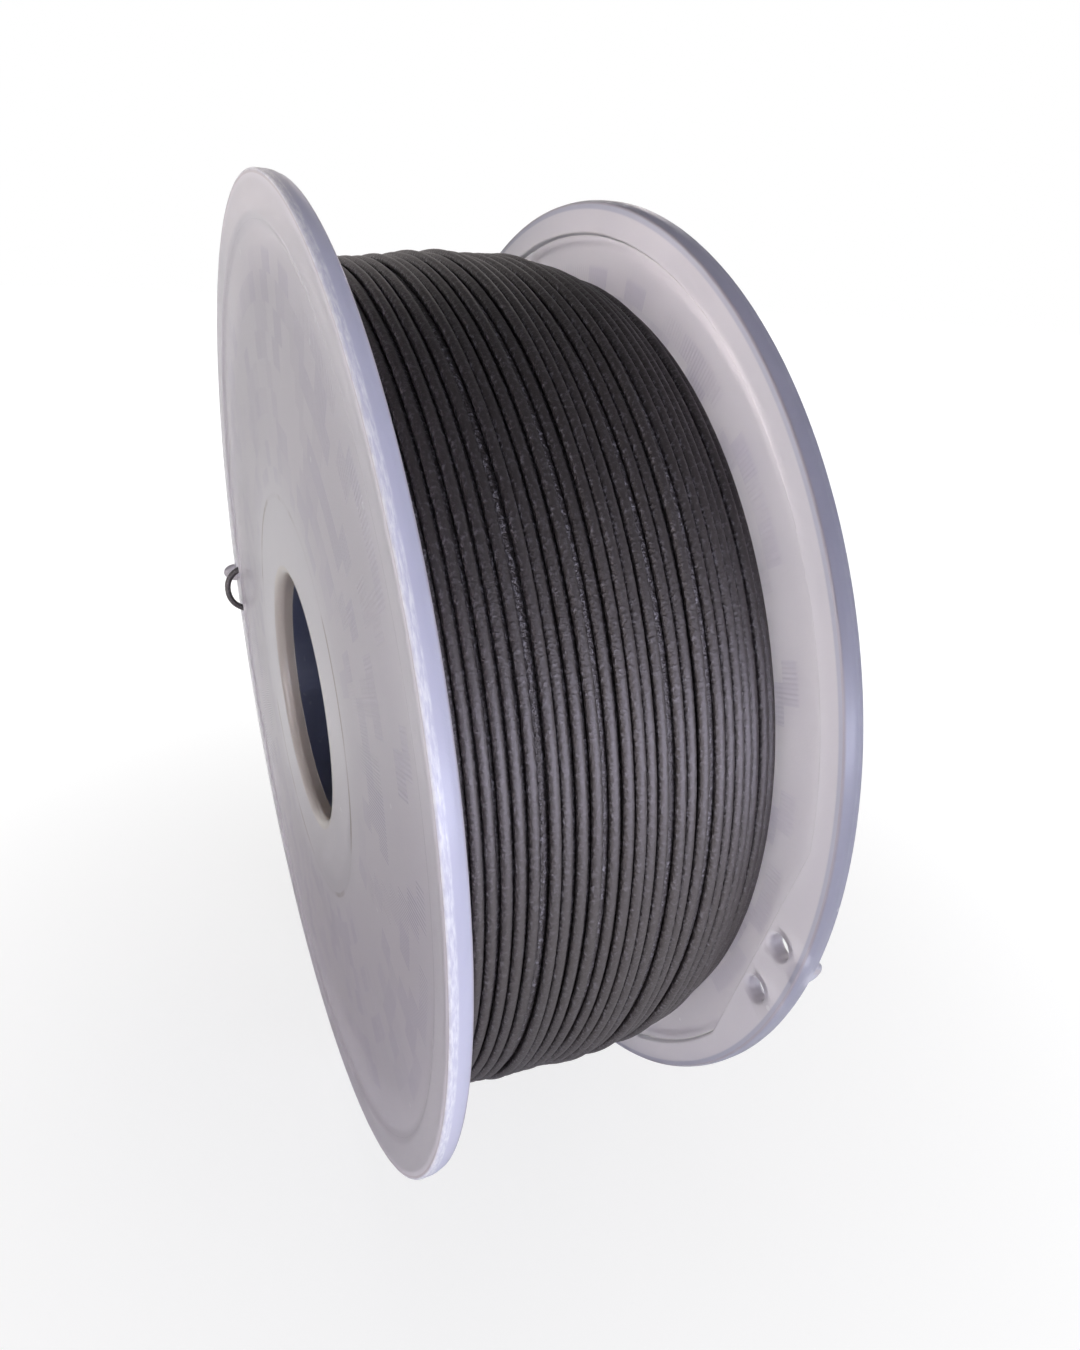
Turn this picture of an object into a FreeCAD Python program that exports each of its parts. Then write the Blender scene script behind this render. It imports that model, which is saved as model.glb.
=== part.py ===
"""Filament spool: two moulded flanges, a ribbed hub core and the strand wound on it.

Units are millimetres.  The spool stands on its rims: X is the spindle axis, +Z is up,
and the origin is the middle of the bore.  An angle around the spindle is counted from
-Y (the side that faces the user) upwards towards +Z.
"""
import FreeCAD, Part
import math
import os
import re
import Sketcher
from FreeCAD import Placement, Rotation, Vector

doc = FreeCAD.newDocument("filament_spool")

# Driving dimensions -----------------------------------------------------------------

SIZES = [
    ("flange_diameter", 200.0, "outside diameter of both flanges"),
    ("rim_gap", 60.2, "clear width between the two rims"),
    ("rim_thickness", 3.6, "rim, measured along the spindle"),
    ("rim_band_inside", 5.7, "raised band round the inner face, radial width"),
    ("rim_band_outside", 6.6, "raised ring round the outer face, radial width"),
    ("panel_recess_inside", 1.0, "inner face of the panel below the band"),
    ("panel_recess_outside", 0.7, "outer face of the panel below the ring"),
    ("bevel_width", 1.5, "slope from the outer ring down to the panel"),
    ("band_draft", 0.3, "slope of the step under the inner band"),
    ("rim_taper_width", 1.4, "tapered part of the rim edge, along the spindle"),
    ("rim_taper_drop", 0.45, "loss of radius over that taper"),
    ("bore_diameter", 55.0, "spindle bore through the whole spool"),
    ("mouth_depth", 2.0, "lead-in at each end of the bore"),
    ("collar_reach", 4.0, "bore collar, from the outer face of the panel inwards"),
    ("collar_wall", 2.0, "wall of that collar"),
    ("drum_diameter", 90.0, "winding drum, outside"),
    ("drum_wall", 2.0, "wall of the winding drum"),
    ("tube_wall", 2.0, "wall of the bore tube inside the drum"),
    ("rib_count", 4.0, "ribs between bore tube and drum"),
    ("rib_thickness", 1.6, "thickness of a rib"),
    ("seat_ring_wall", 1.6, "locating ring that enters the drum, wall"),
    ("seat_ring_height", 3.0, "locating ring, height above the panel"),
    ("seat_clearance", 0.1, "play of the drum round its locating ring"),
    ("rib_end_gap", 0.4, "ribs end this far from the locating rings"),
    ("tie_hole_inset", 6.6, "rim's edge to the line through both tie holes"),
    ("land_margin", 1.2, "tie holes to the straight edge of the land they lie in"),
    ("tie_hole_spacing", 13.4, "tie holes, centre to centre"),
    ("tie_hole_diameter", 4.6, "tie holes for the loose end"),
    ("lug_height", 3.6, "rounded lug above the outer ring"),
    ("lug_root_diameter", 3.6, "lug where it leaves the ring"),
    ("lug_tip_diameter", 2.2, "lug at its tip"),
    ("lug_inset", 2.1, "lug centre in from the rim's edge"),
    ("lug_shift", 4.1, "lug centre beside the middle of the tie holes"),
    ("right_flange_angle", -14.6, "degrees, tie holes of the right flange"),
    ("left_flange_angle", -177.2, "degrees, tie holes of the left flange"),
    ("start_hole_diameter", 3.0, "hole in the drum for the first end of the strand"),
    ("start_hole_place", -18.0, "start hole, along the spindle from the middle"),
    ("start_hole_angle", 108.0, "degrees, start hole, midway between two ribs"),
    ("strand_diameter", 1.75, "filament"),
    ("winding_inset", 14.0, "rim's edge down to the outermost turns"),
    ("winding_side_gap", 0.3, "winding to each flange panel"),
    ("bundle_count", 6.0, "bundles in which the turns stand out from the winding"),
    ("bundle_depth", 1.2, "crown of a bundle down to the groove beside it"),
    ("loop_height", 4.4, "parked loop, top above the outer ring"),
    ("lift_gap", 0.05, "loose end above the turns where it leaves them"),
    ("turn_in_bend", 5.0, "bend radius where the loose end turns into its tie hole"),
    ("tail_length", 6.5, "cut end past the second tie hole"),
    ("start_tail_length", 9.0, "first end, from the drum's outside inwards"),
]

sheet = doc.addObject("Spreadsheet::Sheet", "sizes")
for row, (alias, number, meaning) in enumerate(SIZES, start=1):
    sheet.set(f"A{row}", meaning)
    sheet.set(f"B{row}", str(number))
    sheet.setAlias(f"B{row}", alias)
doc.recompute()


def size(alias):
    """The number that the sheet holds under this alias."""
    return float(getattr(sheet, alias))


def bound(formula):
    """A formula in the sheet's aliases, written the way setExpression reads it."""
    aliases = "|".join(alias for alias, _, _ in SIZES)
    return re.sub(rf"\b({aliases})\b", r"sizes.\1", formula)


# Places that more than one piece shares, as formulas of the sheet ----------------------

RIM_INSIDE = "rim_gap / 2"
RIM_OUTSIDE = "( rim_gap / 2 + rim_thickness )"
PANEL_INSIDE = "( rim_gap / 2 + panel_recess_inside )"
PANEL_OUTSIDE = "( rim_gap / 2 + rim_thickness - panel_recess_outside )"
COLLAR_END = f"( {PANEL_OUTSIDE} - collar_reach )"
RIM_RADIUS = "flange_diameter / 2"
BORE_RADIUS = "bore_diameter / 2"
DRUM_INSIDE = "( drum_diameter / 2 - drum_wall )"
SEAT_OUTSIDE = f"( {DRUM_INSIDE} - seat_clearance )"


# Helpers for bodies and sketches ---------------------------------------------------------

def new_body(name):
    body = doc.addObject("PartDesign::Body", name)
    body.Label = name
    return body


def origin_plane(body, role):
    return next(item for item in body.Origin.OriginFeatures if item.Role == role)


def new_sketch(body, name, role, offset=None):
    """A sketch on one of the body's own origin planes, lifted off it by a formula."""
    sketch = body.newObject("Sketcher::SketchObject", name)
    sketch.AttachmentSupport = [(origin_plane(body, role), "")]
    sketch.MapMode = "FlatFace"
    if offset:
        sketch.setExpression("AttachmentOffset.Base.z", bound(offset))
    return sketch


def bind(sketch, constraint, formula):
    """Add one sketch constraint whose value is a formula of the sheet."""
    index = sketch.addConstraint(constraint)
    sketch.setExpression(f"Constraints[{index}]", bound(formula))


def place_point(sketch, edge, end, across, up=None):
    """Hold one point of an edge at (across, up) from the sketch's origin."""
    here = sketch.getPoint(edge, end)
    bind(sketch, Sketcher.Constraint("DistanceX", edge, end, here.x), across)
    if up:
        bind(sketch, Sketcher.Constraint("DistanceY", edge, end, here.y), up)


def draw_polygon(sketch, corners):
    """A closed outline of straight lines through corners given as pairs of formulas."""
    count = len(corners)
    ring = [Vector(math.cos(2 * math.pi * i / count), math.sin(2 * math.pi * i / count), 0)
            for i in range(count)]
    for i in range(count):
        sketch.addGeometry(Part.LineSegment(ring[i], ring[(i + 1) % count]), False)
    for i in range(count):
        sketch.addConstraint(Sketcher.Constraint("Coincident", i, 2, (i + 1) % count, 1))
    for i, (across, up) in enumerate(corners):
        place_point(sketch, i, 1, across, up)


def draw_circle(sketch, across, up, diameter):
    """A full circle; its centre and its diameter are formulas."""
    edge = sketch.addGeometry(Part.Circle(Vector(1, 1, 0), Vector(0, 0, 1), 1.0), False)
    place_point(sketch, edge, 3, across, up)
    bind(sketch, Sketcher.Constraint("Diameter", edge, 2.0), diameter)


def revolve(body, sketch, kind, name):
    """A full turn of the sketch about the spindle axis: Revolution adds, Groove cuts."""
    feature = body.newObject(f"PartDesign::{kind}", name)
    feature.Profile = sketch
    feature.ReferenceAxis = (sketch, ["H_Axis"])
    feature.Angle = 360.0
    return feature


def around_spindle(clock):
    """The turn about the spindle that brings +Z to this clock angle."""
    return Rotation(Vector(1, 0, 0), 90.0 - clock)


# Flanges: one moulding, used twice ---------------------------------------------------------

def build_flange(name):
    """A translucent disc: rim, recessed panel, bore collar, locating ring, tie-hole land.

    It is drawn as the right-hand flange with its tie holes towards +Z.
    """
    body = new_body(name)
    seat_inside = f"{SEAT_OUTSIDE} - seat_ring_wall"
    seat_end = f"{PANEL_INSIDE} - seat_ring_height"
    collar_outside = f"{BORE_RADIUS} + collar_wall"
    band_edge = f"{RIM_RADIUS} - rim_band_inside"
    ring_edge_out = f"{RIM_RADIUS} - rim_band_outside"

    section = new_sketch(body, name + "_section", "XZ_Plane")
    draw_polygon(section, [
        (COLLAR_END, BORE_RADIUS),
        (COLLAR_END, collar_outside),
        (PANEL_INSIDE, collar_outside),
        (PANEL_INSIDE, seat_inside),
        (seat_end, seat_inside),
        (seat_end, SEAT_OUTSIDE),
        (PANEL_INSIDE, SEAT_OUTSIDE),
        (PANEL_INSIDE, f"{band_edge} - band_draft"),
        (RIM_INSIDE, band_edge),
        (RIM_INSIDE, f"{RIM_RADIUS} - rim_taper_drop"),
        (f"{RIM_INSIDE} + rim_taper_width", RIM_RADIUS),
        (RIM_OUTSIDE, RIM_RADIUS),
        (RIM_OUTSIDE, ring_edge_out),
        (PANEL_OUTSIDE, f"{ring_edge_out} - bevel_width"),
        (PANEL_OUTSIDE, f"{BORE_RADIUS} + mouth_depth"),
        (f"{PANEL_OUTSIDE} - mouth_depth", BORE_RADIUS),
    ])
    revolve(body, section, "Revolution", name + "_disc")
    add_land(body, name)
    holes = body.newObject("PartDesign::Pocket", name + "_tie_holes")
    holes.Profile = tie_hole_sketch(body, name)
    holes.Type = "ThroughAll"
    holes.Midplane = True

    lug = body.newObject("PartDesign::AdditiveCone", name + "_lug")
    lug.AttachmentSupport = [(origin_plane(body, "YZ_Plane"), "")]
    lug.MapMode = "FlatFace"
    lug.setExpression("AttachmentOffset.Base.x", bound("lug_shift"))
    lug.setExpression("AttachmentOffset.Base.y", bound(f"{RIM_RADIUS} - lug_inset"))
    lug.setExpression("AttachmentOffset.Base.z", bound(RIM_OUTSIDE))
    lug.setExpression("Height", bound("lug_height"))
    lug.setExpression("Radius1", bound("lug_root_diameter / 2"))
    lug.setExpression("Radius2", bound("lug_tip_diameter / 2"))
    return body


def add_land(body, name):
    """Flat lands beside the tie holes: the panel is filled up to both rim faces there."""
    land = new_sketch(body, name + "_land_outline", "YZ_Plane", RIM_INSIDE)
    reach = f"( {RIM_RADIUS} - rim_band_inside / 2 )"
    edge = f"( {RIM_RADIUS} - tie_hole_inset - tie_hole_diameter / 2 - land_margin )"
    half = f"sqrt({reach} ^ 2 - {edge} ^ 2)"
    draw_polygon(land, [(half, edge), ("0", reach), (f"-{half}", edge)])
    pad = body.newObject("PartDesign::Pad", name + "_land")
    pad.Profile = land
    pad.setExpression("Length", bound("rim_thickness"))
    return pad


def tie_hole_sketch(body, name):
    """Two circles side by side across the land."""
    sketch = new_sketch(body, name + "_tie_hole_circles", "YZ_Plane")
    for side in ("-", ""):
        draw_circle(sketch, f"{side} tie_hole_spacing / 2", f"{RIM_RADIUS} - tie_hole_inset",
                    "tie_hole_diameter")
    return sketch


flange_right = build_flange("flange_right")
flange_right.Placement = Placement(Vector(), around_spindle(size("right_flange_angle")))
flange_left = build_flange("flange_left")
face_about = Rotation(Vector(0, 0, 1), 180.0)
flange_left.Placement = Placement(Vector(), around_spindle(size("left_flange_angle")) * face_about)


# Hub core: drum, bore tube and ribs in one moulding ------------------------------------------

def build_hub_core():
    """A thick ring with its chambers cut out, and both ends stepped to meet the flanges."""
    body = new_body("hub_core")
    ring = new_sketch(body, "hub_ring", "YZ_Plane")
    draw_circle(ring, "0", "0", "drum_diameter")
    draw_circle(ring, "0", "0", "bore_diameter")
    blank = body.newObject("PartDesign::Pad", "hub_blank")
    blank.Profile = ring
    blank.Midplane = True
    blank.setExpression("Length", bound(f"2 * {PANEL_INSIDE}"))

    chamber = body.newObject("PartDesign::Pocket", "hub_chamber")
    chamber.Profile = chamber_sketch(body)
    chamber.Type = "ThroughAll"
    chamber.Midplane = True
    chambers = body.newObject("PartDesign::PolarPattern", "hub_chambers")
    chambers.Originals = [chamber]
    chambers.Axis = (origin_axis(body, "X_Axis"), [""])
    chambers.Angle = 360.0
    chambers.setExpression("Occurrences", bound("rib_count"))
    body.Tip = chambers

    step = new_sketch(body, "hub_end_step", "XZ_Plane")
    tube_outside = f"{BORE_RADIUS} + tube_wall"
    rib_end = f"{PANEL_INSIDE} - seat_ring_height - rib_end_gap"
    draw_polygon(step, [
        (COLLAR_END, f"{BORE_RADIUS} - tube_wall"),
        (COLLAR_END, tube_outside),
        (rib_end, tube_outside),
        (rib_end, DRUM_INSIDE),
        (RIM_OUTSIDE, DRUM_INSIDE),
        (RIM_OUTSIDE, f"{BORE_RADIUS} - tube_wall"),
    ])
    right_end = revolve(body, step, "Groove", "hub_right_end")
    both_ends = body.newObject("PartDesign::Mirrored", "hub_both_ends")
    both_ends.Originals = [right_end]
    both_ends.MirrorPlane = (origin_plane(body, "YZ_Plane"), [""])
    body.Tip = both_ends

    eye = new_sketch(body, "start_hole_circle", "XY_Plane", "drum_diameter / 2 + drum_wall")
    draw_circle(eye, "start_hole_place", "0", "start_hole_diameter")
    start_hole = body.newObject("PartDesign::Pocket", "start_hole")
    start_hole.Profile = eye
    start_hole.setExpression("Length", bound("3 * drum_wall"))
    body.Tip = start_hole
    return body


def origin_axis(body, role):
    return next(item for item in body.Origin.OriginFeatures if item.Role == role)


def chamber_sketch(body):
    """The space between two ribs: an arc under the drum, an arc over the bore tube."""
    sketch = new_sketch(body, "hub_chamber_outline", "YZ_Plane")
    inner = f"( {BORE_RADIUS} + tube_wall )"

    def corner(radius):
        swing = f"180 deg / rib_count - asin(rib_thickness / 2 / {radius})"
        return f"{radius} * sin({swing})", f"{radius} * cos({swing})"

    # The first outline has about the right size, so that it settles the right way round.
    wide, narrow = size("drum_diameter") / 2, size("bore_diameter") / 2
    for radius in (wide, narrow):
        circle = Part.Circle(Vector(0, 0, 0), Vector(0, 0, 1), radius)
        sketch.addGeometry(Part.ArcOfCircle(circle, math.radians(50), math.radians(130)), False)
    for side in (1, -1):
        low, high = Vector(side * narrow / 2, narrow, 0), Vector(side * wide / 2, wide, 0)
        sketch.addGeometry(Part.LineSegment(low, high), False)
    for arc, line_end in ((0, 2), (1, 1)):
        sketch.addConstraint(Sketcher.Constraint("Coincident", arc, 3, -1, 1))
        sketch.addConstraint(Sketcher.Constraint("Coincident", 2, line_end, arc, 1))
        sketch.addConstraint(Sketcher.Constraint("Coincident", 3, line_end, arc, 2))
    for arc, radius in ((0, DRUM_INSIDE), (1, inner)):
        across, up = corner(radius)
        place_point(sketch, arc, 1, across, up)
        place_point(sketch, arc, 2, f"-{across}")
    return sketch


hub_core = build_hub_core()
hub_core.Placement = Placement(Vector(), around_spindle(size("start_hole_angle")))


# Filament: one strand, wound between the flanges, its two ends made fast ----------------------

WINDING_CROWN = f"( {RIM_RADIUS} - winding_inset )"
WINDING_SIDE = f"( {PANEL_INSIDE} - winding_side_gap )"


def build_winding():
    """All turns between the flanges, as the closed ring that they fill.

    Its outside rises to a crown over each bundle of turns and falls to a groove between.
    """
    body = new_body("filament_winding")
    section = new_sketch(body, "winding_section", "XZ_Plane")
    bundles = round(size("bundle_count"))
    groove = f"{WINDING_CROWN} - bundle_depth"
    outline = [(f"-{WINDING_SIDE}", "drum_diameter / 2"), (f"-{WINDING_SIDE}", groove)]
    for bundle in range(bundles):
        middle, end = 2 * bundle + 1 - bundles, 2 * bundle + 2 - bundles
        outline.append((f"{WINDING_SIDE} * {middle} / bundle_count", WINDING_CROWN))
        outline.append((f"{WINDING_SIDE} * {end} / bundle_count", groove))
    outline.append((WINDING_SIDE, "drum_diameter / 2"))
    draw_polygon(section, outline)
    revolve(body, section, "Revolution", "winding_ring")
    return body


def strand_along(name, corners):
    """A round strand along straight runs; corners are (point, bend radius) pairs.

    Each corner between two runs is a tangent arc of its bend radius.
    """
    points = [point for point, _ in corners]
    edges = []
    reached = points[0]
    for i in range(1, len(corners) - 1):
        corner, radius = corners[i]
        back = (points[i - 1] - corner).normalize()
        ahead = (points[i + 1] - corner).normalize()
        half_open = back.getAngle(ahead) / 2
        trim = radius / math.tan(half_open)
        inwards = (back + ahead).normalize()
        middle = corner + inwards * (radius / math.sin(half_open) - radius)
        arc_start, arc_end = corner + back * trim, corner + ahead * trim
        if (arc_start - reached).Length > 0.001:
            edges.append(Part.LineSegment(reached, arc_start).toShape())
        edges.append(Part.Arc(arc_start, middle, arc_end).toShape())
        reached = arc_end
    edges.append(Part.LineSegment(reached, points[-1]).toShape())
    path = Part.Wire(edges)
    circle = Part.Circle(points[0], points[1] - points[0], size("strand_diameter") / 2)
    strand = doc.addObject("Part::Feature", name)
    strand.Label = name
    strand.Shape = path.makePipe(Part.Face(Part.Wire(circle.toShape())))
    share = strand.Shape.Volume / (path.Length * math.pi * size("strand_diameter") ** 2 / 4)
    print(f"{name}: {path.Length:.1f} mm long, volume {share:.4f} of section times length, "
          f"tightest bend {min(radius for _, radius in corners[1:-1]):.1f} mm")
    return strand


def build_loose_end():
    """The last stretch: off the last crown, out of one tie hole, back in by the other.

    It is laid out in the flange's own drawing, with the tie holes towards +Z and the
    outer face towards +X, and turns with the left flange.
    """
    rim_outside = size("rim_gap") / 2 + size("rim_thickness")
    wall_middle = rim_outside - size("rim_thickness") / 2
    loop_top = rim_outside + size("loop_height") - size("strand_diameter") / 2
    rise = loop_top - wall_middle
    hole = size("tie_hole_spacing") / 2
    height = size("flange_diameter") / 2 - size("tie_hole_inset")
    bend = (hole ** 2 + rise ** 2) / (2 * rise)
    steep = math.asin(hole / bend)
    if rise > bend:
        steep = math.pi - steep
    shoulder = bend * math.tan(steep / 2)
    lean = 1 / math.tan(steep)

    side = size("rim_gap") / 2 + size("panel_recess_inside") - size("winding_side_gap")
    lies_at = side * (1 - 1 / size("bundle_count"))
    turns_in = -hole - (wall_middle - lies_at) * lean
    crown = size("flange_diameter") / 2 - size("winding_inset")
    lies_on = crown + size("strand_diameter") / 2 + size("lift_gap")
    lift = math.atan2(-turns_in, height) + math.acos(lies_on / math.hypot(turns_in, height))

    cut_end = size("rim_gap") / 2 - size("tail_length")
    return strand_along("filament_loose_end", [
        (Vector(lies_at, -lies_on * math.sin(lift), lies_on * math.cos(lift)), 0),
        (Vector(lies_at, turns_in, height), size("turn_in_bend")),
        (Vector(loop_top, -shoulder, height), bend),
        (Vector(loop_top, shoulder, height), bend),
        (Vector(cut_end, hole + (wall_middle - cut_end) * lean, height), 0),
    ])


def build_start_tail():
    """The first end: straight in through the hole in the drum."""
    tail = doc.addObject("Part::Cylinder", "filament_start_tail")
    tail.Label = "filament_start_tail"
    tail.setExpression("Radius", bound("strand_diameter / 2"))
    tail.setExpression("Height", bound("start_tail_length"))
    return tail


filament_winding = build_winding()
filament_loose_end = build_loose_end()
filament_loose_end.Placement = flange_left.Placement
filament_start_tail = build_start_tail()
tail_foot = Vector(size("start_hole_place"), 0,
                   size("drum_diameter") / 2 - size("lift_gap") - size("start_tail_length"))
filament_start_tail.Placement = hub_core.Placement * Placement(tail_foot, Rotation())

# Check and write ---------------------------------------------------------------------------

doc.recompute()
for item in doc.Objects:
    if "Invalid" in item.State or "Error" in item.State:
        raise RuntimeError(f"{item.Name} did not recompute: {item.State}")

PIECES = [flange_left, flange_right, hub_core, filament_winding, filament_start_tail,
          filament_loose_end]
for piece in PIECES:
    if piece.Shape.isNull() or not piece.Shape.isValid() or len(piece.Shape.Solids) != 1:
        raise RuntimeError(f"{piece.Label} is not one valid solid")

os.makedirs("parts", exist_ok=True)
for piece in PIECES:
    piece.Shape.exportStep(f"parts/{piece.Label}.step")
    print(f"{piece.Label}: {piece.Shape.Volume / 1000:.1f} cm3")
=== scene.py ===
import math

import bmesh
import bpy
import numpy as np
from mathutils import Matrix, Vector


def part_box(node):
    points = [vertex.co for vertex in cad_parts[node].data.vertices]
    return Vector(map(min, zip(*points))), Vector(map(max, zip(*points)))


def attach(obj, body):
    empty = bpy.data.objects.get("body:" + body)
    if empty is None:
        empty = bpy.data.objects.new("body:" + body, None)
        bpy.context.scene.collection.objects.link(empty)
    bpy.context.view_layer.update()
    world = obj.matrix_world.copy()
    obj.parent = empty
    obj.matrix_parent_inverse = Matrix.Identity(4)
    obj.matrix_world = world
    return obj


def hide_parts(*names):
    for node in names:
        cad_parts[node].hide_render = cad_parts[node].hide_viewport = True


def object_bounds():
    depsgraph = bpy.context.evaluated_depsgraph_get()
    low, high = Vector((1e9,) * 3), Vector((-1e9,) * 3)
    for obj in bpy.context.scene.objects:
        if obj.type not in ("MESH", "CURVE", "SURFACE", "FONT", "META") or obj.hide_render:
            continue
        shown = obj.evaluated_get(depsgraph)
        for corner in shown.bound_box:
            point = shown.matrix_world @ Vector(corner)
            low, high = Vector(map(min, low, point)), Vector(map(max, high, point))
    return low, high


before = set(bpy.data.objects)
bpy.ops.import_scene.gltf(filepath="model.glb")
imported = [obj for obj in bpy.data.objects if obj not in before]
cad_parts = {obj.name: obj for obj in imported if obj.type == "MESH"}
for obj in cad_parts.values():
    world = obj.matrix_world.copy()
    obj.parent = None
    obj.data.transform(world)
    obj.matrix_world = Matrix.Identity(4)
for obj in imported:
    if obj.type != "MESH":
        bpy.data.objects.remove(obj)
cad_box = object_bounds()

# A full filament spool, dressed in the order in which it is put together: two moulded
# flanges on a hub core, and one strand of filament wound between them.  The spindle axis
# is X.  Sizes are in millimetres up to the moment a mesh is written, in metres.

# Flanges ---------------------------------------------------------------------------------
# Two equal discs, injection moulded in natural polypropylene: frosted, see-through where
# nothing dark lies behind, scuffed on the rims.  Each seats on the hub core with a locating
# ring and is bonded there; two tie holes in a flat land take the end of the filament.

right_lo, right_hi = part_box("flange_right")
lug_height, lug_half_length, lug_half_width = 3.6, 2.6, 1.6
lug_foot = 1.2  # how far its flat foot reaches into the rim
rim_radius = right_hi.z * 1000
rim_outside = right_hi.x * 1000 - lug_height
rim_thickness, rim_taper_width, rim_taper_drop = 3.6, 1.4, 0.45
rim_inside = rim_outside - rim_thickness
recess_outside, recess_inside = 0.7, 1.0
panel_outside = rim_outside - recess_outside
panel_inside = rim_inside + recess_inside
bore_radius = 27.5
collar_wall, collar_reach = 2.0, 4.0
collar_end = panel_outside - collar_reach
locating_ring_end = right_lo.x * 1000
locating_ring = (41.3, 42.9)
band_edge = rim_radius - 5.7
band_draft = 0.35
ring_edge = rim_radius - 6.6
bevel_width = 1.5
land_edge = rim_radius - 10.1
land_corners = (17.56, 15.7)
tie_hole_place = (6.7, rim_radius - 6.6)
tie_hole_radius = 2.3
tie_hole_flare = 1.1
lug_place = (4.1, rim_radius - 1.9)
right_flange_angle, left_flange_angle = -14.6, -177.2


def turned(points, angle):
    """Points turned about the spindle so that +Z comes to this angle, counted from -Y upwards:
    y' = y cos t - z sin t and z' = y sin t + z cos t, with t = 90 degrees - angle."""
    t = math.radians(90 - angle)
    x, y, z = np.moveaxis(points, -1, 0)
    return np.stack([x, y * math.cos(t) - z * math.sin(t), y * math.sin(t) + z * math.cos(t)], -1)


def rounded_outlines(corners, rounding, steps=5):
    """Closed outlines with round corners, one outline for each row of corners.

    A corner C between unit directions p (back) and q (ahead) becomes the circular arc from
    A = C + t p to B = C + t q, as ((1-s)^2 A + 2 s(1-s) w C + s^2 B) over
    ((1-s)^2 + 2 s(1-s) w + s^2), with w the sine of half the corner's angle.  One more
    point before and after each arc keeps the flat runs flat in the shading.
    """
    back = np.roll(corners, 1, axis=1) - corners
    ahead = np.roll(corners, -1, axis=1) - corners
    back_run = np.linalg.norm(back, axis=-1, keepdims=True)
    ahead_run = np.linalg.norm(ahead, axis=-1, keepdims=True)
    back, ahead = back / back_run, ahead / ahead_run
    weight = np.sqrt((1 - (back * ahead).sum(-1, keepdims=True)) / 2)[:, :, None]
    t = np.asarray(rounding, float)[None, :, None]
    start, end = corners + t * back, corners + t * ahead
    s = np.linspace(0, 1, steps + 1)[None, None, :, None]
    blend = 2 * s * (1 - s) * weight
    arc = ((1 - s) ** 2 * start[:, :, None] + blend * corners[:, :, None]
           + s ** 2 * end[:, :, None]) / ((1 - s) ** 2 + blend + s ** 2)
    before = start + back * np.minimum(0.25, 0.2 * (back_run - t))
    after = end + ahead * np.minimum(0.25, 0.2 * (ahead_run - t))
    whole = np.concatenate([before[:, :, None], arc, after[:, :, None]], axis=2)
    return whole.reshape(len(corners), -1, 2)


def grid_mesh(name, points, ends="joined", sharp=35):
    """A mesh over a grid of points in mm, rows x columns x 3; every row is a closed ring.

    Each face joins four neighbours.  ends says what happens to the first and the last row:
    "joined" to each other, or "capped" with a flat face.
    """
    rows, columns = points.shape[:2]
    index = np.arange(rows * columns).reshape(rows, columns)
    below = np.roll(index, -1, axis=0)
    quads = np.stack([index, np.roll(index, -1, axis=1), np.roll(below, -1, axis=1), below], -1)
    if ends == "capped":
        quads = quads[:-1]
    faces = quads.reshape(-1, 4).tolist()
    if ends == "capped":
        faces += [index[0, ::-1].tolist(), index[-1].tolist()]
    mesh = bpy.data.meshes.new(name)
    mesh.from_pydata((points.reshape(-1, 3) * 0.001).tolist(), [], faces)
    mesh.shade_smooth()
    mesh.set_sharp_from_angle(angle=math.radians(sharp))
    piece = bpy.data.objects.new(name, mesh)
    bpy.context.scene.collection.objects.link(piece)
    return piece


def flange_disc():
    """The whole moulding but its holes and lug, in its own drawing: outer face towards +X.

    A closed outline (x, r) goes once round the spindle: y = r sin a, z = r cos a.  Its two
    steps follow the land: their radius is the smaller of the ring's own edge and
    land_edge / cos a, which is a straight line across the disc.
    """
    a = np.radians(np.linspace(-180, 180, 432, endpoint=False))
    near_land = [np.radians(side * middle + np.linspace(-0.7, 0.7, 8))
                 for middle in land_corners for side in (-1, 1)]
    a = np.unique(np.round(np.concatenate([a, *near_land]), 6))
    straight = land_edge / np.maximum(np.cos(a), 0.5)
    step_inside = np.minimum(band_edge, straight)
    step_outside = np.minimum(ring_edge, straight)
    outline = [
        (collar_end, bore_radius, 0.25),
        (collar_end, bore_radius + collar_wall, 0.25),
        (panel_inside, bore_radius + collar_wall, 0.4),
        (panel_inside, locating_ring[0], 0.3),
        (locating_ring_end, locating_ring[0], 0.3),
        (locating_ring_end, locating_ring[1], 0.3),
        (panel_inside, locating_ring[1], 0.3),
        (panel_inside, step_inside - band_draft, 0.2),
        (rim_inside, step_inside, 0.35),
        (rim_inside, rim_radius - rim_taper_drop, 0.3),
        (rim_inside + rim_taper_width, rim_radius, 0.45),
        (rim_outside, rim_radius, 0.4),
        (rim_outside, step_outside, 0.6),
        (panel_outside, step_outside - bevel_width, 0.7),
        (panel_outside, bore_radius, 2.0),
    ]
    ones = np.ones_like(a)
    corners = np.stack([np.stack([x * ones, r * ones], -1) for x, r, _ in outline], 1)
    x, r = np.moveaxis(rounded_outlines(corners, [t for _, _, t in outline]), -1, 0)
    return np.stack([x, r * np.sin(a)[:, None], r * np.cos(a)[:, None]], -1)


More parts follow.
